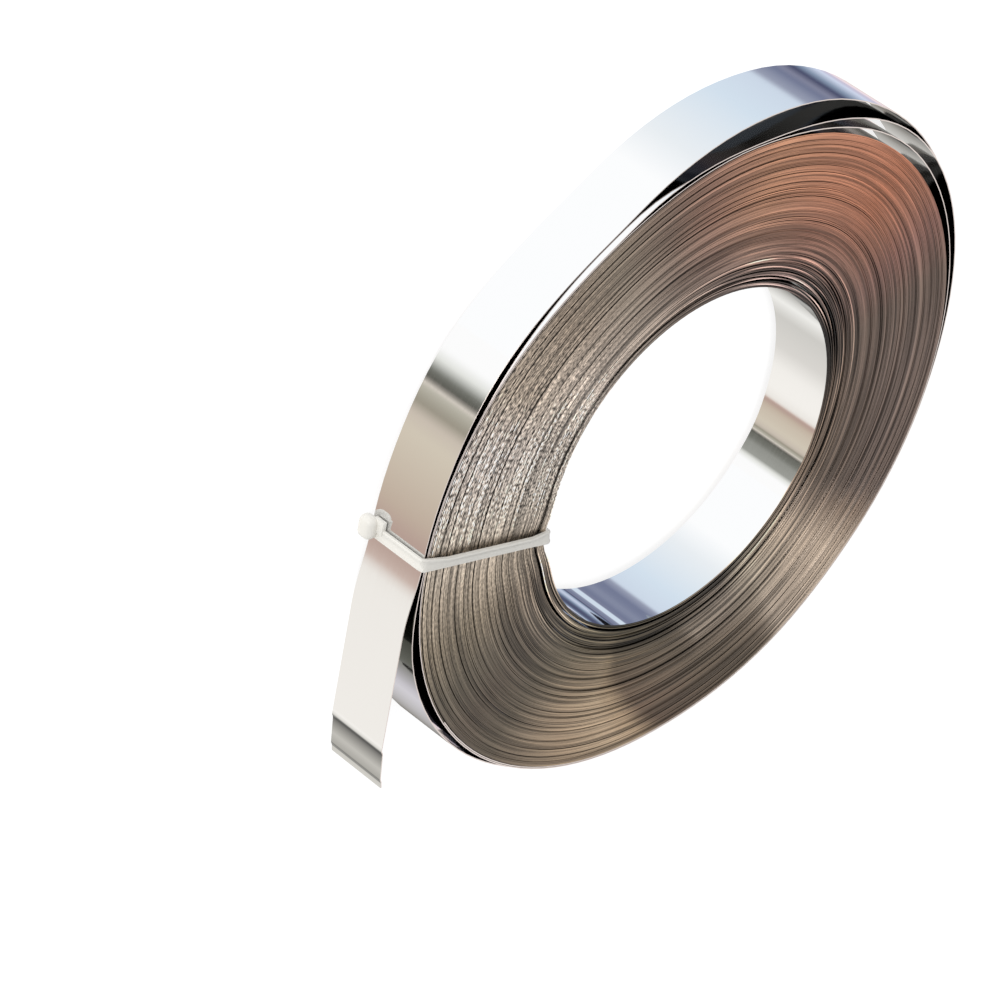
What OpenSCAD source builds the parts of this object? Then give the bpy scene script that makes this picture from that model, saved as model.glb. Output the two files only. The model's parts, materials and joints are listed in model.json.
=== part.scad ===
// Coil of narrow steel strip, lying flat on its end and held by one cable tie.
// Z is the bore axis, and z = 0 is the lower end of the wound pack. The tie's lower run
// and the loose outer turn reach a little further down, and the coil rests on them.

/* [Wound pack] */
// Diameter of the bore that the winding mandrel left
bore_d = 85; // [60:1:120]
// Radial thickness of the wound turns
build_up = 37.7; // [28:0.1:60]
// Width of the strip, which is the height of the pack
strip_w = 16; // [10:0.5:30]
// Thickness of the strip
strip_t = 0.25; // [0.15:0.05:0.5]
// How far the middle of the pack's rim lies off the bore axis
pack_shift = 2.1; // [0:0.1:3]
// Direction of that offset about the bore axis
pack_shift_angle = 143; // [0:1:360]

/* [Turns on the ends] */
// Number of grooves between groups of turns on each end
groove_n = 12; // [4:1:18]
// Width of a groove
groove_w = 0.4; // [0.2:0.1:0.8]
// Depth of a groove
groove_depth = 0.5; // [0.2:0.1:1]

/* [Loose outer turn] */
// How far the loose turn runs back from the tie before it joins the pack
loose_sweep = 395; // [385:1:405]
// Smallest gap between the loose turn and the pack
loose_gap = 0.4; // [0.2:0.1:1]
// Gap that the loose turn gains in its last full turn
turn_rise = 1.2; // [0.9:0.1:2]
// Height of the wide bulge that springs off the pack
bulge = 5.2; // [1:0.1:8]
// Height of the small bulge behind the free tail
small_bulge = 1.5; // [0:0.1:3]

/* [Free tail] */
// Length of the tail from the tie to the crease
tail_len = 51; // [20:1:80]
// Length of the bent end past the crease
tail_end_len = 7.5; // [4:0.5:15]
// Angle by which the tail leans out from the rim's tangent
tail_lean = 2; // [0:0.5:6]
// Angle of the bend at the crease, towards the coil
tail_bend = 9; // [0:1:20]

/* [Cable tie] */
// Angle of the tie at the rim, about the bore axis
tie_angle = -49; // [-60:1:-40]
// Angle of the tie at the bore, about the bore axis
tie_bore_angle = -41; // [-50:1:-32]
// Width of the band
tie_w = 3.6; // [2.5:0.1:4.8]
// Thickness of the band
tie_t = 1.3; // [0.9:0.1:1.6]
// Clearance between the band and the strip
tie_gap = 0.2; // [0.15:0.05:0.4]
// Length of the head along the rim
head_l = 7.2; // [6.5:0.1:9]
// Thickness of the head, out from the rim
head_t = 4.4; // [3:0.1:6]
// Height of the head
head_h = 5; // [4:0.1:7]
// Length of the cut end that stands out of the head
stub_l = 3; // [1:0.5:6]
// Radius of the dent that the band presses into the bore wall
dent_r = 6; // [4:0.5:10]

/* [Hidden] */
$fn = 96;
bore_r = bore_d / 2;
pack_r = bore_r + build_up;
pack_c = pack_shift * [cos(pack_shift_angle), sin(pack_shift_angle)];
set_back = tie_t + tie_gap;            // how far the loose turn has slipped down
over = 1;                              // how far a cut runs past a face
arc_step = 5;                          // degrees between points of the loose turn
sink_sweep = 15;                       // last stretch of the loose turn, going into the pack
sink = 2 * strip_t + loose_gap + 0.5;  // how deep its inner end lies in the pack
tail_dir = tie_angle + 90 - tail_lean;
tie_in = bore_r * [cos(tie_bore_angle), sin(tie_bore_angle)];
tie_rim_r = rim_r(tie_angle) + stand_off(0) + strip_t;
tie_out = tie_rim_r * [cos(tie_angle), sin(tie_angle)];
tie_len = norm(tie_out - tie_in);
tie_dir = atan2(tie_out[1] - tie_in[1], tie_out[0] - tie_in[0]);

function direction(a) = [cos(a), sin(a)];
function left_of(v) = [-v[1], v[0]] / norm(v);
function ease(t) = t <= 0 ? 0 : t >= 1 ? 1 : (1 - cos(180 * t)) / 2;
function bump(s, from, peak, to) = s < peak ? ease((s - from) / (peak - from)) : ease((to - s) / (to - peak));

// Distance of the pack's rim from the bore axis, at angle a
function rim_r(a) =
    let (b = a - pack_shift_angle)
    pack_shift * cos(b) + sqrt(pow(pack_r, 2) - pow(pack_shift * sin(b), 2));

// Gap under the loose turn, at s degrees back from the tie
function stand_off(s) =
    loose_gap + turn_rise * (1 - s / 360)
    + bulge * bump(s, 50, 113, 205)
    + small_bulge * bump(s, 270, 315, 372)
    - sink * ease((s - loose_sweep + sink_sweep) / sink_sweep);

function loose_point(s) =
    let (a = tie_angle - s)
    (rim_r(a) + stand_off(s) + strip_t / 2) * direction(a);

// Middle line of the strip from its inner end to the end of the tail
function loose_path() =
    let (crease = loose_point(0) + tail_len * direction(tail_dir))
    concat(
        [for (s = [loose_sweep : -arc_step : 0]) loose_point(s)],
        [crease, crease + tail_end_len * direction(tail_dir + tail_bend)]
    );

// Outline of a strip of thickness t along the points p
function ribbon(p, t) =
    let (
        last = len(p) - 1,
        n = [for (i = [0 : last]) left_of(p[min(i + 1, last)] - p[max(i - 1, 0)])]
    )
    concat(
        [for (i = [0 : last]) p[i] + n[i] * t / 2],
        [for (i = [last : -1 : 0]) p[i] - n[i] * t / 2]
    );

// Ring that shows where one group of turns stands proud of the next, f of the way out
module groove(f) {
    r = bore_r + f * build_up;
    translate([f * pack_c[0], f * pack_c[1], 0])
        rotate_extrude() translate([r - groove_w / 2, 0]) square([groove_w, groove_depth + over]);
}

module grooves() {
    for (i = [1 : groove_n]) {
        translate([0, 0, strip_w - groove_depth]) groove(i / (groove_n + 1));
        translate([0, 0, -over]) groove(i / (groove_n + 1));
    }
}

// The innermost turns give way where the band crosses the bore wall
module tie_dent() {
    depth = tie_t + 2 * tie_gap + pow(tie_w / 2, 2) / (2 * dent_r);
    translate((bore_r + depth - dent_r) * concat(direction(tie_bore_angle), 0) - [0, 0, over])
        cylinder(h = strip_w + 2 * over, r = dent_r);
}

module pack() {
    difference() {
        translate([pack_c[0], pack_c[1], 0]) cylinder(h = strip_w, r = pack_r, $fn = 180);
        translate([0, 0, -over]) cylinder(h = strip_w + 2 * over, r = bore_r, $fn = 180);
        tie_dent();
        grooves();
    }
}

// The loose turn and the tail. A notch stands for the stretch that the tie lifts.
module loose_turn() {
    difference() {
        translate([0, 0, -set_back]) linear_extrude(strip_w) polygon(ribbon(loose_path(), strip_t));
        along_tie() translate([tie_len / 2, -tie_w / 2 - 2 * tie_gap, -set_back - over])
            cube([tie_len, tie_w + 4 * tie_gap, set_back + over]);
    }
}

module strip_coil() {
    color([0.55, 0.5, 0.45]) union() {
        pack();
        loose_turn();
    }
}

// Frame with X along the tie, from the bore wall to the rim
module along_tie() {
    translate([tie_in[0], tie_in[1], 0]) rotate([0, 0, tie_dir]) children();
}

// Frame with X out from the bore axis, at radius r and angle a
module at_wall(r, a) {
    rotate([0, 0, a]) translate([r, 0, 0]) children();
}

module tie_run(z) {
    along_tie() translate([tie_gap, -tie_w / 2, z]) cube([tie_len + tie_t, tie_w, tie_t]);
}

module tie_upright(x) {
    translate([x, -tie_w / 2, -set_back]) cube([tie_t, tie_w, set_back + strip_w + set_back]);
}

module cable_tie() {
    color([0.95, 0.95, 0.93]) union() {
        tie_run(-set_back);
        tie_run(strip_w + tie_gap);
        at_wall(bore_r, tie_bore_angle) tie_upright(tie_gap);
        at_wall(tie_rim_r, tie_angle) {
            tie_upright(tie_gap);
            translate([tie_gap, tie_w / 2 - head_l, -set_back]) cube([head_t, head_l, head_h]);
            translate([2 * tie_gap, tie_w / 2 - head_l, head_h - set_back - over])
                cube([tie_t, tie_w, stub_l + over]);
        }
    }
}

strip_coil();
cable_tie();
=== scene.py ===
import json
import math
import random

import bmesh
import bpy
from mathutils import Matrix, Vector


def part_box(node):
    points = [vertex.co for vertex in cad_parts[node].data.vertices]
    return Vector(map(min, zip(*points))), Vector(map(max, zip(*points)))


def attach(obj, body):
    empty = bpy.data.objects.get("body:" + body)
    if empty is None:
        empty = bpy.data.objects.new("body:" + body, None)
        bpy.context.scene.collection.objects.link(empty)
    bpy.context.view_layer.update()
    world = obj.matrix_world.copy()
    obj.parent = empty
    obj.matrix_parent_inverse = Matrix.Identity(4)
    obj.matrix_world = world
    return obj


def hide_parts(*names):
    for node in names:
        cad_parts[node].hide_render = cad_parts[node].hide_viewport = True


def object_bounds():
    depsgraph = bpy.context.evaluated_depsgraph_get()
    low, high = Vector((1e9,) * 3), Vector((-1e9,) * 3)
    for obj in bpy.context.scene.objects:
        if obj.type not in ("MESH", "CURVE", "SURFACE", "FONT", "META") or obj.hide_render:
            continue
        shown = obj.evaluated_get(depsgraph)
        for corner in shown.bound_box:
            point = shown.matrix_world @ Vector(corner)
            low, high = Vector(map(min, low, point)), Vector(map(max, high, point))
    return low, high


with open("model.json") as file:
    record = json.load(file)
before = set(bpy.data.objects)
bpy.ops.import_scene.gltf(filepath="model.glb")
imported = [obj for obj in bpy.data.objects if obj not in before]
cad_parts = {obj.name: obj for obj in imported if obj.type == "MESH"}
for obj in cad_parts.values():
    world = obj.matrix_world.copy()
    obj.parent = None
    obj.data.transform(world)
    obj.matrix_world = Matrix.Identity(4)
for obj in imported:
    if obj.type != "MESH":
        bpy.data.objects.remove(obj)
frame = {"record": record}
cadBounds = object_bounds()

# A coil of bright steel strip, lying on its end and held by one cable tie.
# Lengths are in millimetres until they reach a mesh, and angles in degrees about the bore axis.
mm = 0.001
bore = next(m["dims"] for m in frame["record"]["mounts"] if m["name"] == "bore")
boreRadius = bore["r_mm"]
stripWidth = bore["length_mm"]
setBack = -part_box("strip_coil")[0].z / mm  # how far the outermost turn has slipped down


def smooth(t):  # 0 to 1 with a soft start and end
    t = min(max(t, 0), 1)
    return (1 - math.cos(math.pi * t)) / 2


def bump(x, start, peak, end):
    return smooth((x - start) / (peak - start)) if x < peak else smooth((end - x) / (end - peak))


def spot(angle, distance=1):
    turned = math.radians(angle)
    return Vector((math.cos(turned), math.sin(turned), 0)) * distance


def sameTurn(angle):  # the same direction, from -180 to 180
    return (angle + 180) % 360 - 180


def selectOnly(piece):
    bpy.ops.object.select_all(action="DESELECT")
    piece.select_set(True)
    bpy.context.view_layer.objects.active = piece


def applyAll(piece):
    selectOnly(piece)
    for modifier in list(piece.modifiers):
        bpy.ops.object.modifier_apply(modifier=modifier.name)


def faceOutwards(piece):
    selectOnly(piece)
    bpy.ops.object.mode_set(mode="EDIT")
    bpy.ops.mesh.select_all(action="SELECT")
    bpy.ops.mesh.normals_make_consistent(inside=False)
    bpy.ops.object.mode_set(mode="OBJECT")


# The strip is one long path from the bore out to the free end. These values hold for all of it.
strip = {
    "thickness": 0.25,
    "tightTurns": 122,
    "looseTurns": 3,
    "steps": 120,  # points in a turn
    "tieAngle": -49,
    "smoothAngle": 35,
    "seed": 11,
}

# The tight turns fill the room between the bore and the rim, which is a little oval.
pack = {
    "rimRadius": 79.2,
    "rimShift": 0.7,
    "rimOval": 1.3,
    "ovalAngle": 165,
    "rimFlats": [(-140, -105, -75, -1.4), (45, 72, 97, 0.9)],  # start, middle, end and height
    "closestGap": 0.01,
    "shares": (0.2, 1),  # least and most of the spare room that a turn gets
    "wideGaps": [  # turn, middle of its gap, half its stretch, and its width
        (2, 48, 105, 0.85), (6, -5, 60, 0.45), (9, 40, 60, 0.4), (14, 30, 70, 0.35), (4, 168, 60, 0.6),
        (5, -165, 60, 0.7), (8, 162, 50, 0.4), (10, -160, 60, 0.5), (13, 168, 45, 0.35),
        (16, -170, 55, 0.4), (22, 175, 50, 0.35), (34, 60, 95, 0.35), (50, -165, 50, 0.3),
        (70, -160, 50, 0.3), (75, -150, 40, 0.2), (104, 45, 40, 0.25), (58, 20, 60, 0.15),
        (86, 10, 50, 0.15), (95, -150, 40, 0.2),
    ],
    "groupTurns": (3, 7),  # turns that stand at one level, with a low turn after them
    "groupLevel": 0.17,
    "unevenness": 0.04,
    "lowShares": (0.3, 1),
    "lowLevel": 0.5,
    "innerTurns": 20,
    "innerLowLevel": 1,
    "dents": [(-41, 1.7, 7), (113, 0.3, 9)],  # angle, depth and spread where the bore wall gives way
    "dentFade": 14,
}


def rimRadius(angle):
    turned = math.radians(angle - pack["ovalAngle"])
    radius = pack["rimRadius"] + pack["rimShift"] * math.cos(turned) + pack["rimOval"] * math.cos(2 * turned)
    return radius + sum(high * bump(sameTurn(angle), a, b, c) for a, b, c, high in pack["rimFlats"])


def dentDepth(angle, radius):
    deep = sum(
        depth * math.exp(-((sameTurn(angle - place) / spread) ** 2)) for place, depth, spread in pack["dents"]
    )
    return deep * smooth(1 - (radius - boreRadius) / (2 * pack["dentFade"]))


def tightRings():
    # For each step round the coil, the radius of every turn. The named gaps come first,
    # and what room is left is shared out unevenly between all the turns.
    rng = random.Random(strip["seed"])
    turns = strip["tightTurns"]
    shares = [rng.uniform(*pack["shares"]) ** 2 for k in range(turns)]
    columns = []
    for i in range(strip["steps"]):
        angle = strip["tieAngle"] + 360 * i / strip["steps"]
        pitch = [strip["thickness"] + pack["closestGap"]] * turns
        for turn, centre, half, wide in pack["wideGaps"]:
            pitch[turn] += wide * smooth(1 - abs(sameTurn(angle - centre)) / half)
        spare = (rimRadius(angle) - boreRadius - sum(pitch)) / sum(shares)
        column = [boreRadius]
        for share, wide in zip(shares, pitch):
            column.append(column[-1] + wide + share * spare)
        columns.append(column)
    return columns


def turnHeights():
    # how far each turn stands up or down
    rng = random.Random(strip["seed"] + 1)
    uneven = pack["unevenness"]
    levels = []
    while len(levels) < strip["tightTurns"] + 2:
        level = rng.uniform(-pack["groupLevel"], pack["groupLevel"])
        levels += [level + rng.uniform(-uneven, uneven) for k in range(rng.randint(*pack["groupTurns"]))]
        low = pack["innerLowLevel"] if len(levels) < pack["innerTurns"] else pack["lowLevel"]
        levels += [level - rng.uniform(*pack["lowShares"]) * low] * rng.choice((1, 1, 2))
    return levels


# The loose turns spring off the rim and come back to it under the tie.
loose = {
    "spring": 0.35,  # gap that builds up in each turn
    "lead": 1 / 3,  # share of a turn in which the gap starts, before the loose turns
    "bulges": [  # start, peak and end, in degrees back from the tie, and height
        (-40, 0, 20, 0.5),
        (-6, 30, 57, 0.8),
        (58, 109, 200, 6.2),
        (59, 74, 100, 0.8),
        (290, 340, 361, 2.0),
        (418, 432, 455, 0.9),
        (445, 490, 548, 4.6),
        (810, 852, 905, 2.1),
    ],
    "slipStart": 90,  # degrees in which the outermost turn slips down
    "slipEnd": 60,  # degrees in which the tie lifts it again
}


def looseGap(back):
    share = strip["looseTurns"] + loose["lead"] - back / 360
    return max(share, 0) * loose["spring"] + sum(
        high * bump(back, a, b, c) for a, b, c, high in loose["bulges"]
    )


def woundPath():
    # middle line of the strip's lower edge, from its inner end to the tie
    steps = strip["steps"]
    columns = tightRings()
    levels = turnHeights()
    path = []
    for i in range(strip["tightTurns"] * steps):
        turn, along = divmod(i, steps)
        share = along / steps
        angle = strip["tieAngle"] + 360 * share
        radius = columns[along][turn] * (1 - share) + columns[along][turn + 1] * share
        radius += dentDepth(angle, radius)
        back = 360 * (strip["looseTurns"] + strip["tightTurns"] - i / steps)
        height = levels[turn] * (1 - smooth(share)) + levels[turn + 1] * smooth(share)
        path.append(spot(angle, radius + looseGap(back)) + Vector((0, 0, height)))
    for i in range(strip["looseTurns"] * steps, -1, -1):
        back = 360 * i / steps
        angle = strip["tieAngle"] - back
        slip = setBack * smooth(back / loose["slipEnd"]) * smooth((360 - back) / loose["slipStart"])
        path.append(spot(angle, rimRadius(angle) + looseGap(back)) - Vector((0, 0, slip)))
    return path


# The tail runs straight out from under the tie to its creased end.
tail = {
    "length": 49,
    "direction": 40.8,
    "bow": 3.4,  # how much the tail still curves where it leaves the tie
    "bowLength": 15,
    "slipLength": 20,
    "step": 1.5,
    "bendSteps": 4,
    # arc length, bend and the straight run after it: two creases, each bent too far and back
    "creases": [(0.8, 30, 0.2), (0.8, -24, 6.6), (0.6, 24, 0.2), (0.6, -20, 1.4)],
}


def addTail(path):
    here = path[-1].copy()
    heading = tail["direction"]
    runs = [(tail["length"], 0)]
    for arc, bend, straight in tail["creases"]:
        runs += [(arc, bend), (straight, 0)]
    gone = 0
    for run, bend in runs:
        count = tail["bendSteps"] if bend else max(1, round(run / tail["step"]))
        for i in range(count):
            heading += bend / count
            gone += run / count
            bow = tail["bow"] * (1 - smooth(gone / tail["bowLength"]))
            here = here + spot(heading - bow, run / count)
            slip = setBack * smooth(gone / tail["slipLength"])
            path.append(Vector((here.x, here.y, -slip)))
    return path


def markStrip(mesh):
    # stripMap is the way back from the free end and the way up, turnMap is the turn's number
    stripMap = mesh.uv_layers.new(name="stripMap")
    turnMap = mesh.uv_layers.new(name="turnMap")
    fromEnd = mesh.attributes["fromEnd"].data
    order = mesh.attributes["order"].data
    for face in mesh.polygons:
        for corner in face.loop_indices:
            point = mesh.loops[corner].vertex_index
            across = (mesh.vertices[point].co.z > face.center.z) * stripWidth * mm
            stripMap.data[corner].uv = (fromEnd[point].value, across)
            turnMap.data[corner].uv = (order[point].value, across)


def makeStrip():
    path = addTail(woundPath())
    mesh = bpy.data.meshes.new("steel_strip")
    mesh.from_pydata([p * mm for p in path], [(i, i + 1) for i in range(len(path) - 1)], [])
    fromEnd = mesh.attributes.new("fromEnd", "FLOAT", "POINT")
    order = mesh.attributes.new("order", "FLOAT", "POINT")
    gone = 0
    for i in reversed(range(len(path))):
        fromEnd.data[i].value = gone * mm
        order.data[i].value = i / strip["steps"]
        gone += (path[i] - path[i - 1]).length if i else 0
    piece = bpy.data.objects.new("steel_strip", mesh)
    bpy.context.collection.objects.link(piece)
    selectOnly(piece)
    bpy.ops.object.mode_set(mode="EDIT")
    bpy.ops.mesh.select_all(action="SELECT")
    bpy.ops.mesh.extrude_edges_move(TRANSFORM_OT_translate={"value": (0, 0, stripWidth * mm)})
    bpy.ops.object.mode_set(mode="OBJECT")
    faceOutwards(piece)
    markStrip(mesh)
    for material in (rolledSteel(), slitEdge()):
        mesh.materials.append(material)
    wall = piece.modifiers.new("thickness", "SOLIDIFY")
    wall.thickness = strip["thickness"] * mm
    wall.offset = 0
    wall.use_even_offset = True
    wall.material_offset_rim = 1
    applyAll(piece)
    faceOutwards(piece)
    bpy.ops.object.shade_smooth_by_angle(angle=math.radians(strip["smoothAngle"]))
    print("strip:", len(path), "points,", round(gone / 1000, 2), "m")
    return piece


# Small helpers for the materials and the world.
def light(red, green, blue):  # screen values to the renderer's linear ones
    screen = (red, green, blue)
    return tuple(((v / 255 + 0.055) / 1.055) ** 2.4 if v > 10 else v / 3294 for v in screen) + (1,)


def grey(value):
    return (value, value, value, 1)


def newMaterial(name):
    material = bpy.data.materials.new(name)
    material.use_nodes = True
    tree = material.node_tree
    return material, tree, tree.nodes["Principled BSDF"]


def node(tree, kind, **values):
    made = tree.nodes.new("ShaderNode" + kind)
    for key, value in values.items():
        setattr(made, key, value)
    return made


def join(tree, value, socket):  # a link, or the value itself
    if isinstance(value, (int, float, tuple)):
        socket.default_value = value
    else:
        tree.links.new(value, socket)


def maths(tree, operation, *values):
    made = node(tree, "Math", operation=operation)
    for socket, value in zip(made.inputs, values):
        join(tree, value, socket)
    return made.outputs[0]


def mapRange(tree, value, low, high, first, last, unit=1):
    made = node(tree, "MapRange")
    made.inputs["From Min"].default_value = low * unit
    made.inputs["From Max"].default_value = high * unit
    made.inputs["To Min"].default_value = first
    made.inputs["To Max"].default_value = last
    tree.links.new(value, made.inputs["Value"])
    return made.outputs[0]


def ramp(tree, source, stops):
    made = node(tree, "ValToRGB")
    stops = sorted(stops)
    elements = made.color_ramp.elements
    elements[0].position, elements[0].color = stops[0]
    elements[1].position, elements[1].color = stops[-1]
    for place, colour in stops[1:-1]:
        elements.new(place).color = colour
    tree.links.new(source, made.inputs["Fac"])
    return made.outputs["Color"]


def greyRamp(tree, source, stops):
    return ramp(tree, source, [(place, grey(value)) for place, value in stops])


def mix(tree, share, first, second, kind="MIX"):
    made = node(tree, "Mix", data_type="RGBA", blend_type=kind)
    join(tree, share, made.inputs[0])
    join(tree, first, made.inputs[6])
    join(tree, second, made.inputs[7])
    return made.outputs[2]


def noise(tree, vector, scale, detail):
    made = node(tree, "TexNoise")
    made.inputs["Scale"].default_value = scale
    made.inputs["Detail"].default_value = detail
    tree.links.new(vector, made.inputs["Vector"])
    return made.outputs[0]


def relief(tree, height, strength, distance):
    made = node(tree, "Bump")
    made.inputs["Strength"].default_value = strength
    made.inputs["Distance"].default_value = distance * mm
    tree.links.new(height, made.inputs["Height"])
    return made.outputs[0]


def firstPart(tree, vector):  # the X of a vector
    made = node(tree, "SeparateXYZ")
    tree.links.new(vector, made.inputs[0])
    return made.outputs["X"]


def objectPlace(tree):
    return node(tree, "TexCoord").outputs["Object"]


def turnNumber(tree):
    return firstPart(tree, node(tree, "UVMap", uv_map="turnMap").outputs[0])


def flattened(tree, vector):
    made = node(tree, "VectorMath", operation="MULTIPLY")
    made.inputs[1].default_value = (1, 1, 0)
    tree.links.new(vector, made.inputs[0])
    return made.outputs[0]


def angleAround(tree, vector):  # 0 to 1 round the bore axis, from -180 degrees to 180
    around = node(tree, "TexGradient", gradient_type="RADIAL")
    tree.links.new(flattened(tree, vector), around.inputs[0])
    return around.outputs["Fac"]


def distanceOut(tree, vector):
    made = node(tree, "VectorMath", operation="LENGTH")
    tree.links.new(flattened(tree, vector), made.inputs[0])
    return made.outputs["Value"]


def byAngle(rows):  # degrees to the stops of a ramp that reads angleAround
    return [(angle / 360 + 0.5, value) for angle, value in rows]


# The flat of the strip: bright, with faint rolling lines along it.
rolled = {
    "tone": 0.86,
    "roughness": (0.02, 0.09),
    "lineScale": (12, 2600, 1),
    "lineDepth": 0.02,
    "lineStrength": 0.03,
    # painted shade by millimetres back from the free end: dark lines and a grey falloff at the two creases in
    # the tail, and painted reflection and shadow of the tail on the turn behind it
    "tailShades": [
        (0, (0.97, 0.97, 0.95)), (1.4, (0.9, 0.9, 0.88)), (1.8, (0.22, 0.22, 0.21)),
        (2.5, (0.16, 0.16, 0.15)), (2.9, (0.6, 0.6, 0.58)), (5.5, (0.75, 0.75, 0.73)),
        (8.6, (0.36, 0.36, 0.35)), (9.6, (0.2, 0.2, 0.2)), (9.9, (0.05, 0.05, 0.05)),
        (10.6, (0.05, 0.05, 0.05)), (11, (0.85, 0.85, 0.84)), (12, (1, 1, 1)),
    ],
    "turnShades": [
        (480, (1, 1, 1)), (515, (0.7, 0.68, 0.77)), (538, (0.62, 0.6, 0.7)), (548, (0.25, 0.26, 0.22)),
        (569, (0.2, 0.21, 0.18)), (575, (1, 1, 1)),
    ],
    # how far the wall of the bore leans out of true, by angle: it is wavy and not quite round
    "leans": [
        (4, 0), (8, 10), (12, 10), (15, 5), (18, -4), (20, -3), (22, 5), (24.5, 7), (26, 18), (28, -2),
        (33, -3), (36, -8), (38, -10.5), (40, -9), (43, -7.5), (97, -7.5), (101, -3.5), (104, -0.5),
        (107, -3), (110.5, -5.5), (112.5, -2), (119, -2), (121.5, 7), (126, 9), (134, 3), (141, 0),
    ],
    "mostLean": 20,
}


def rolledSteel():
    material, tree, shader = newMaterial("rolledSteel")
    shader.inputs["Metallic"].default_value = 1
    place = node(tree, "UVMap", uv_map="stripMap").outputs[0]
    fromEnd = firstPart(tree, place)
    colour = grey(rolled["tone"])
    # multiply in the painted crease shade and the painted reflection and shadow of the tail on the turn
    # behind it
    for shades in (rolled["tailShades"], rolled["turnShades"]):
        near, far = shades[0][0], shades[-1][0]
        reach = mapRange(tree, fromEnd, near, far, 0, 1, mm)
        shade = ramp(tree, reach, [((at - near) / (far - near), (*tone, 1)) for at, tone in shades])
        colour = mix(tree, 1, colour, shade, "MULTIPLY")
    tree.links.new(colour, shader.inputs["Base Color"])
    mapped = node(tree, "Mapping")
    mapped.inputs["Scale"].default_value = rolled["lineScale"]
    tree.links.new(place, mapped.inputs[0])
    lines = noise(tree, mapped.outputs[0], 1, 3)
    rough = mapRange(tree, lines, 0.3, 0.7, *rolled["roughness"])
    tree.links.new(rough, shader.inputs["Roughness"])
    facing = relief(tree, lines, rolled["lineStrength"], rolled["lineDepth"])
    # only the innermost turn leans
    most = rolled["mostLean"]
    leans = [(angle, lean / (2 * most) + 0.5) for angle, lean in rolled["leans"]]
    lean = greyRamp(tree, angleAround(tree, objectPlace(tree)), byAngle(leans))
    swing = maths(tree, "MULTIPLY_ADD", lean, math.radians(2 * most), math.radians(-most))
    innermost = maths(tree, "LESS_THAN", turnNumber(tree), 0.99)
    leaning = node(tree, "VectorRotate", rotation_type="Z_AXIS")
    tree.links.new(facing, leaning.inputs["Vector"])
    tree.links.new(maths(tree, "MULTIPLY", swing, innermost), leaning.inputs["Angle"])
    tree.links.new(leaning.outputs[0], shader.inputs["Normal"])
    return material


# The slit edges: duller, coloured unevenly round the coil, partly with the steel's own tint and partly with
# painted highlight and shade in light and dark wedges, with lines that follow the turns.
# Reaches are distances from the bore axis, as shares of the rim's radius.
slit = {
    "metallic": 0.9,
    "roughness": 0.42,
    "loose": (226, 214, 208),  # painted highlight on the edges of the outer turns
    "outer": [  # tint with painted highlight and shade, by angle in the outer half of the coil
        (-180, (172, 112, 85)), (-165, (186, 127, 99)), (-145, (188, 138, 109)), (-130, (158, 122, 105)),
        (-120, (136, 115, 102)), (-108, (148, 134, 119)), (-95, (160, 144, 128)), (-80, (178, 163, 147)),
        (-68, (216, 203, 194)), (-52, (210, 197, 182)), (-40, (180, 165, 147)), (-30, (142, 129, 111)),
        (-18, (107, 98, 85)), (-8, (95, 84, 73)), (2, (100, 90, 77)), (12, (134, 118, 100)),
        (25, (165, 143, 119)), (40, (186, 163, 136)), (45, (176, 152, 124)), (50, (112, 93, 77)),
        (70, (103, 90, 76)), (74, (125, 110, 95)), (77, (188, 171, 154)), (93, (194, 174, 154)),
        (101, (140, 120, 104)), (106, (112, 96, 87)), (135, (124, 106, 97)), (150, (122, 103, 92)),
        (162, (144, 105, 94)), (172, (162, 110, 88)), (180, (172, 112, 85)),
    ],
    "inner": [  # tint with painted highlight and shade, by angle near the bore
        (-180, (118, 102, 96)), (-165, (104, 88, 84)), (-140, (124, 108, 101)), (-122, (130, 115, 105)),
        (-105, (170, 156, 144)), (-85, (204, 190, 178)), (-60, (212, 200, 187)), (-40, (178, 163, 146)),
        (-28, (128, 114, 101)), (-8, (105, 95, 84)), (12, (107, 98, 81)), (30, (88, 79, 63)),
        (55, (80, 71, 61)), (68, (94, 85, 77)), (77, (166, 154, 137)), (90, (180, 161, 142)),
        (100, (150, 132, 117)), (107, (114, 98, 84)), (130, (108, 92, 80)), (155, (96, 82, 73)),
        (180, (118, 102, 96)),
    ],
    "tintReach": (0.57, 0.85),
    "slant": 0.085,  # share of a turn by which the outer tint and painted light are moved round at the bore
    "slantReach": (0.53, 1),
    "slantAngles": [(-180, 0), (7.2, 0), (28.8, 1), (57.6, 1), (75.6, 0)],
    "bands": [(0, 0.32), (0.3, 0.5), (0.42, 0.95), (0.55, 1.05), (0.75, 1.4), (1, 1.7)],
    "bandSpread": 0.25,
    "bandLines": [(0.3, 14, 1, 0.6), (2.7, 40, 0.9, 0.4)],  # change a turn, drift, strength near and far
    "bandReach": (0.6, 0.76),
    "glints": [(0, 0.03), (0.35, 0.25), (0.52, 0.9), (0.68, 2.2), (0.85, 5), (1, 7)],
    "glintSpread": 0.2,
    "glintLines": (0.9, 30),  # change a turn and drift
    "glintReach": (0.56, 0.68),
    "glintAngles": [(-180, 1), (-150, 1), (-125, 0.4), (-100, 0), (-50, 0), (-30, 0.6), (0, 0.6),
                    (60, 0.3), (130, 0.5), (155, 1), (180, 1)],
    "fleckPitch": 0.85,  # flecks that the slitting knives left across the edges, in degrees
    "fleckTurns": 0.75,
    "fleckDepth": 0.85,
    "fleckAngles": [(-112, 0), (-95, 0.5), (-78, 1), (-56, 1), (-48, 0.4), (-30, 0.35), (-15, 0)],
}


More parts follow.
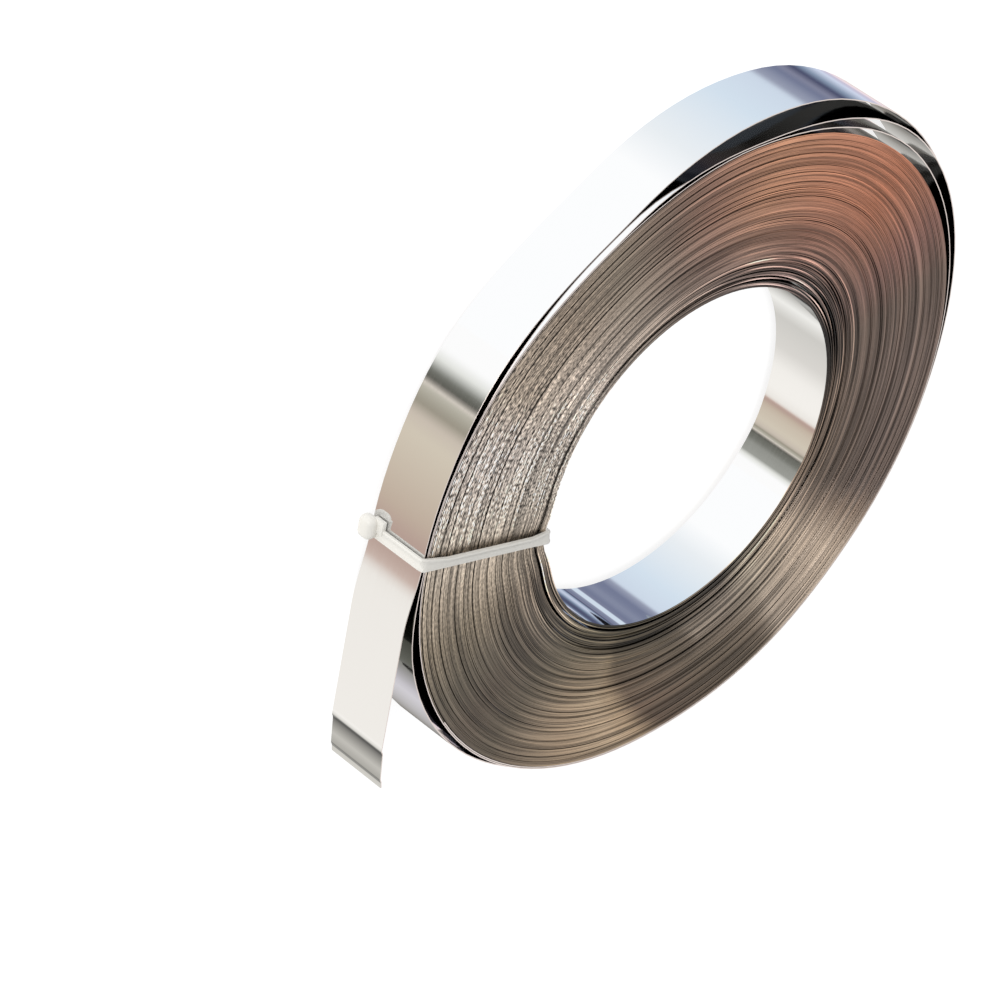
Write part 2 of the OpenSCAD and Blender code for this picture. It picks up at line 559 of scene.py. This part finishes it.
def turnTones(tree, turn, place, perTurn, drift, spread, tones):
    # tones that change from turn to turn and drift slowly along each
    moved = node(tree, "VectorMath", operation="SCALE")
    moved.inputs["Scale"].default_value = drift
    tree.links.new(place, moved.inputs[0])
    lifted = node(tree, "CombineXYZ")
    tree.links.new(maths(tree, "MULTIPLY", turn, perTurn), lifted.inputs["Z"])
    total = node(tree, "VectorMath", operation="ADD")
    tree.links.new(moved.outputs[0], total.inputs[0])
    tree.links.new(lifted.outputs[0], total.inputs[1])
    lines = noise(tree, total.outputs[0], 1, 1)
    return greyRamp(tree, mapRange(tree, lines, 0.5 - spread, 0.5 + spread, 0, 1), tones)


def edgeTintAndPaintedLight(tree, radius, angle, rimSize):
    # the line between the painted light and the painted dark stretch runs aslant across the coil
    slant = greyRamp(tree, angle, byAngle(slit["slantAngles"]))
    inwards = mapRange(tree, radius, *slit["slantReach"], 1, 0, rimSize)
    shifted = maths(tree, "MULTIPLY_ADD", maths(tree, "MULTIPLY", slant, inwards), slit["slant"], angle)
    outer = ramp(tree, shifted, byAngle([(a, light(*c)) for a, c in slit["outer"]]))
    inner = ramp(tree, angle, byAngle([(a, light(*c)) for a, c in slit["inner"]]))
    return mix(tree, mapRange(tree, radius, *slit["tintReach"], 0, 1, rimSize), inner, outer)


def fleckMarks(tree, turn, angle):
    grid = node(tree, "CombineXYZ")
    tree.links.new(maths(tree, "MULTIPLY", angle, 360 / slit["fleckPitch"]), grid.inputs["X"])
    tree.links.new(maths(tree, "MULTIPLY", turn, slit["fleckTurns"]), grid.inputs["Y"])
    flecks = mapRange(tree, noise(tree, grid.outputs[0], 1, 0), 0.3, 0.7, -1, 1)
    window = greyRamp(tree, angle, byAngle(slit["fleckAngles"]))
    marks = maths(tree, "MULTIPLY", flecks, maths(tree, "MULTIPLY", window, slit["fleckDepth"]))
    return maths(tree, "ADD", marks, 1)


def slitEdge():
    material, tree, shader = newMaterial("slitEdge")
    shader.inputs["Metallic"].default_value = slit["metallic"]
    shader.inputs["Roughness"].default_value = slit["roughness"]
    rimSize = pack["rimRadius"] * mm
    place = objectPlace(tree)
    radius = distanceOut(tree, place)
    angle = angleAround(tree, place)
    turn = turnNumber(tree)
    # the steel's own tint mixed with painted highlight and shade in wedges round the coil
    colour = edgeTintAndPaintedLight(tree, radius, angle, rimSize)
    for perTurn, drift, near, far in slit["bandLines"]:
        tone = turnTones(tree, turn, place, perTurn, drift, slit["bandSpread"], slit["bands"])
        strength = mapRange(tree, radius, *slit["bandReach"], near, far, rimSize)
        colour = mix(tree, strength, colour, tone, "MULTIPLY")
    # the innermost turns stand apart, and some of their edges get painted glints and some painted shadow
    tone = turnTones(tree, turn, place, *slit["glintLines"], slit["glintSpread"], slit["glints"])
    nearBore = mapRange(tree, radius, *slit["glintReach"], 1, 0, rimSize)
    window = greyRamp(tree, angle, byAngle(slit["glintAngles"]))
    colour = mix(tree, maths(tree, "MULTIPLY", nearBore, window), colour, tone, "MULTIPLY")
    colour = mix(tree, 1, colour, fleckMarks(tree, turn, angle), "MULTIPLY")
    # painted highlight: the edges of the loose outer turns are painted pale
    looseEdgeHighlight = maths(tree, "GREATER_THAN", turn, strip["tightTurns"] + 0.1)
    colour = mix(tree, looseEdgeHighlight, colour, light(*slit["loose"]))
    tree.links.new(colour, shader.inputs["Base Color"])
    return material


nylon = {
    "colour": (0.8, 0.78, 0.73, 1),
    "roughness": 0.4,
    "glow": 0.15,  # how much light goes in and comes out again
    "glowDepth": 1,
    "mottleScale": 900,
    "mottleDepth": 0.1,
    "mottleStrength": 0.1,
}


def whiteNylon():
    material, tree, shader = newMaterial("whiteNylon")
    shader.inputs["Base Color"].default_value = nylon["colour"]
    shader.inputs["Roughness"].default_value = nylon["roughness"]
    shader.inputs["Subsurface Weight"].default_value = nylon["glow"]
    shader.inputs["Subsurface Radius"].default_value = [nylon["glowDepth"] * mm] * 3
    mottle = noise(tree, objectPlace(tree), nylon["mottleScale"], 3)
    mottled = relief(tree, mottle, nylon["mottleStrength"], nylon["mottleDepth"])
    tree.links.new(mottled, shader.inputs["Normal"])
    return material


# The cable tie is made in its own frame: x from the bore wall to the rim, y across the band.
tie = {
    "width": 3.0,
    "thickness": 1.0,
    "softEdge": 0.22,
    "grooveTop": 0.55,  # half widths of the groove along the band, as shares of the band's
    "grooveFloor": 0.45,
    "grooveDepth": 0.12,
    "rimAngle": -49.7,
    "boreAngle": -41.8,
    "clearance": 0.1,
    "cornerRadius": 1.0,
    "cornerSteps": 5,
    "runSteps": 12,
    "twist": -17,  # the band lies askew across the upper end
    "twistStart": 6,  # it has its whole twist after a sixth of the way
    "headLength": 5.3,
    "headHeight": 4.2,
    "headOut": 3.5,
    "headOver": 0.2,
    "headRounding": 1.6,
    "stubIn": 0.2,
    "stubOut": 1.2,
    "stubLength": 3.2,
    "stubDepth": 1.5,
    "stubHeight": 1.6,
    "stubRounding": 0.2,
    "smoothAngle": 40,
}


def tieEnds():
    start = spot(tie["boreAngle"], boreRadius)
    end = spot(tie["rimAngle"], rimRadius(tie["rimAngle"]) + looseGap(0) + strip["thickness"] / 2)
    return start, end


def bandRoute(left, right, low, high):
    # round the coil's section by four corners, with points along the runs for the twist
    corner = tie["cornerRadius"]
    corners = [
        (left + corner, high - corner, 180),
        (right - corner, high - corner, 90),
        (right - corner, low + corner, 0),
        (left + corner, low + corner, 270),
    ]
    steps, runSteps = tie["cornerSteps"], tie["runSteps"]
    route = []
    for x, z, first in corners:
        for i in range(steps + 1):
            turned = math.radians(first - 90 * i / steps)
            route.append((x + corner * math.cos(turned), z + corner * math.sin(turned)))
        if first == 180:
            route += [(left + (right - left) * i / runSteps, high) for i in range(1, runSteps)]
        if first == 0:
            route += [(right - (right - left) * i / runSteps, low) for i in range(1, runSteps)]
    return route


def bandSection():
    w, t = tie["width"] / 2, tie["thickness"] / 2
    soft = tie["softEdge"]
    top, floor = w * tie["grooveTop"], w * tie["grooveFloor"]
    deep = t - tie["grooveDepth"]
    return [
        (-w + soft, t), (-top, t), (-floor, deep), (floor, deep), (top, t), (w - soft, t),
        (w, t - soft), (w, -t + soft), (w - soft, -t), (-w + soft, -t), (-w, -t + soft), (-w, t - soft),
    ]


def makeTieBand():
    start, end = tieEnds()
    run = end - start
    half = tie["thickness"] / 2 + tie["clearance"]
    left, right = half, run.length + half
    heading = math.degrees(math.atan2(run.y, run.x))
    inTurn = tie["boreAngle"] - heading
    outTurn = tie["rimAngle"] - heading
    twistLift = tie["width"] / 2 * abs(math.sin(math.radians(tie["twist"])))
    section = bandSection()
    route = bandRoute(left, right, -half, stripWidth + half)
    band = bmesh.new()
    rings = []
    for i, (x, z) in enumerate(route):
        before, after = route[i - 1], route[(i + 1) % len(route)]
        ahead = Vector((after[0] - before[0], 0, after[1] - before[1])).normalized()
        out = Vector((-ahead.z, 0, ahead.x))
        share = (x - left) / (right - left)
        level = smooth(min(share, 1 - share) * tie["twistStart"])
        onTop = z > stripWidth
        # each upright faces the wall that it stands at, and the upper run turns to its twist between them
        turn = (inTurn * (1 - share) + outTurn * share) * (1 - level) + tie["twist"] * level * onTop
        across = Vector((0, 1, 0))
        across.rotate(Matrix.Rotation(math.radians(turn), 3, "Z" if abs(ahead.z) > 0.7 else ahead))
        normal = ahead.cross(across) * -1
        if normal.dot(out) < 0:
            normal = -normal
        centre = Vector((x, 0, z + twistLift * level * onTop))
        rings.append([band.verts.new((centre + across * a + normal * b) * mm) for a, b in section])
    for i, first in enumerate(rings):
        second = rings[(i + 1) % len(rings)]
        for j in range(len(section)):
            k = (j + 1) % len(section)
            band.faces.new((first[j], first[k], second[k], second[j]))
    bmesh.ops.recalc_face_normals(band, faces=band.faces)
    mesh = bpy.data.meshes.new("tie_band")
    band.to_mesh(mesh)
    band.free()
    piece = bpy.data.objects.new("tie_band", mesh)
    bpy.context.collection.objects.link(piece)
    placeOn(piece, start, heading)
    return piece


def placeOn(piece, start, heading):
    selectOnly(piece)
    piece.rotation_euler = (0, 0, math.radians(heading))
    piece.location = start * mm
    bpy.ops.object.transform_apply(location=True, rotation=True, scale=True)


def roundedBlock(name, low, high, rounding, segments):
    size = Vector(high) - Vector(low)
    bpy.ops.object.select_all(action="DESELECT")
    bpy.ops.mesh.primitive_cube_add(size=1, location=(Vector(low) + size / 2) * mm, scale=size * mm)
    piece = bpy.context.object
    piece.name = name
    bpy.ops.object.transform_apply(location=True, rotation=True, scale=True)
    edge = piece.modifiers.new("rounding", "BEVEL")
    edge.width = rounding * mm
    edge.segments = segments
    edge.limit_method = "NONE"
    applyAll(piece)
    return piece


def makeTieHead():
    end = tieEnds()[1]
    near = tie["clearance"]
    half = tie["width"] / 2
    back = half - tie["headLength"]
    top = tie["headHeight"] - setBack
    headLow = (near, back, -setBack)
    headHigh = (near + tie["headOut"], half + tie["headOver"], top)
    head = roundedBlock("tie_head", headLow, headHigh, tie["headRounding"], 8)
    back += tie["stubIn"]
    stubLow = (near, back, top - tie["stubDepth"])
    stubHigh = (near + tie["stubOut"], back + tie["stubLength"], top + tie["stubHeight"])
    stub = roundedBlock("tie_stub", stubLow, stubHigh, tie["stubRounding"], 2)
    for piece in (head, stub):
        placeOn(piece, end, tie["rimAngle"])
    return [head, stub]


def makeTie():
    pieces = [makeTieBand()] + makeTieHead()
    selectOnly(pieces[0])
    for piece in pieces:
        piece.select_set(True)
    bpy.ops.object.join()
    whole = bpy.context.object
    whole.name = "nylon_tie"
    whole.data.materials.clear()
    whole.data.materials.append(whiteNylon())
    bpy.ops.object.shade_smooth_by_angle(angle=math.radians(tie["smoothAngle"]))
    print("tie:", len(whole.data.polygons), "faces")
    return whole


# Floor, light and camera.
studio = {
    "floor": 6,  # size of the floor, in metres
    "floorTone": 0.35,
    "floorGlow": 0.82,
    "floorRoughness": 0.9,
    "soft": 0.62,
    "bandStrength": 1.16,
    "deepGap": 0.06,  # what is left of the light that bounces about between two turns
    "bands": [  # colour that a wall of the coil shows, by the direction that the wall faces
        (-179.5, (190, 182, 175)), (-175, (215, 202, 196)), (-171, (228, 212, 219)),
        (-168.5, (188, 184, 205)), (-166, (200, 209, 229)), (-161.5, (130, 145, 168)),
        (-158.5, (68, 72, 100)), (-155, (128, 131, 153)), (-152.5, (113, 120, 146)),
        (-147.3, (150, 156, 176)), (-145.3, (203, 215, 230)), (-136, (210, 224, 237)),
        (-120, (233, 238, 242)), (-112, (252, 253, 254)), (-84, (252, 252, 252)),
        (-81.5, (226, 227, 222)), (-79, (118, 119, 112)), (-77, (84, 83, 77)),
        (-76, (214, 206, 196)), (-75.2, (184, 180, 167)), (-72.5, (152, 146, 132)),
        (-70.5, (200, 189, 176)), (-68, (208, 198, 181)), (-57, (191, 174, 158)),
        (-52, (180, 156, 146)), (-50.5, (200, 180, 170)), (-49.6, (234, 230, 224)),
        (-45.5, (244, 241, 236)), (-41, (216, 213, 208)), (-28, (204, 202, 197)),
        (-19, (236, 235, 231)), (-3, (120, 116, 110)),
    ],
    "keyPlace": (0.25, -1.5, 0.5),
    "keySize": 0.9,
    "keyPower": 9,
}


def makeFloor():
    bpy.ops.object.select_all(action="DESELECT")
    bpy.ops.mesh.primitive_plane_add(size=studio["floor"], location=(0, 0, cadBounds[0].z))
    floor = bpy.context.object
    floor.name = "floor"
    material, tree, shader = newMaterial("paleFloor")
    shader.inputs["Base Color"].default_value = grey(studio["floorTone"])
    shader.inputs["Emission Color"].default_value = grey(1)
    shader.inputs["Emission Strength"].default_value = studio["floorGlow"]
    shader.inputs["Roughness"].default_value = studio["floorRoughness"]
    shader.inputs["Specular IOR Level"].default_value = 0
    floor.data.materials.append(material)
    floor.visible_glossy = False
    print("floor:", studio["floor"], "m")


def makeWorld():
    # the bright steel mirrors upright bands of colour from the sides, and plain white from above
    world = bpy.data.worlds.new("studio")
    bpy.context.scene.world = world
    world.use_nodes = True
    world.cycles.sampling_method = "NONE"
    tree = world.node_tree
    back = tree.nodes["Background"]
    way = node(tree, "TexCoord").outputs["Generated"]
    turned = node(tree, "Mapping", vector_type="POINT")
    turned.inputs["Rotation"].default_value = (0, 0, math.radians(-90))
    tree.links.new(way, turned.inputs[0])
    stops = [((a / 180 + 0.5) % 1, light(*c)) for a, c in studio["bands"]]
    bands = ramp(tree, angleAround(tree, turned.outputs[0]), stops)
    lit = mix(tree, 1, bands, grey(studio["bandStrength"]), "MULTIPLY")
    height = node(tree, "SeparateXYZ")
    tree.links.new(way, height.inputs[0])
    above = maths(tree, "GREATER_THAN", height.outputs["Z"], 0)
    path = node(tree, "LightPath")
    bounced = mapRange(tree, path.outputs["Glossy Depth"], 1, 3, 1, studio["deepGap"])
    glossy = mix(tree, 1, mix(tree, above, lit, grey(1)), bounced, "MULTIPLY")
    plain = mix(tree, path.outputs["Is Diffuse Ray"], grey(1), grey(studio["soft"]))
    tree.links.new(mix(tree, path.outputs["Is Glossy Ray"], plain, glossy), back.inputs["Color"])
    print("world:", len(stops), "bands")


def makeKeyLight():
    bpy.ops.object.select_all(action="DESELECT")
    bpy.ops.object.light_add(type="AREA", location=studio["keyPlace"])
    lamp = bpy.context.object
    lamp.name = "key"
    lamp.data.size = studio["keySize"]
    lamp.data.energy = studio["keyPower"]
    lamp.rotation_euler = (-Vector(studio["keyPlace"])).to_track_quat("-Z", "Y").to_euler()
    print("light:", lamp.name)


viewpoint = {"elevation": 32.9, "roll": 126.1, "distance": 1105, "aside": (30.9, 17.0), "lens": 180}


def makeCamera():
    data = bpy.data.cameras.new("camera")
    data.lens = viewpoint["lens"]
    data.clip_start = 0.01
    camera = bpy.data.objects.new("camera", data)
    bpy.context.collection.objects.link(camera)
    turned = Matrix.Rotation(math.radians(90 - viewpoint["elevation"]), 4, "X")
    turned = turned @ Matrix.Rotation(math.radians(viewpoint["roll"]), 4, "Z")
    aside = Vector((-viewpoint["aside"][0], -viewpoint["aside"][1], viewpoint["distance"])) * mm
    camera.matrix_world = Matrix.Translation(turned @ aside) @ turned
    bpy.context.scene.camera = camera
    print("camera:", viewpoint["distance"], "mm away")


bpy.context.scene.view_settings.view_transform = "Standard"
makeCamera()
stripPiece = makeStrip()
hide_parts("strip_coil")
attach(stripPiece, "root")
tiePiece = makeTie()
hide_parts("cable_tie")
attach(tiePiece, "root")
makeFloor()
makeWorld()
makeKeyLight()
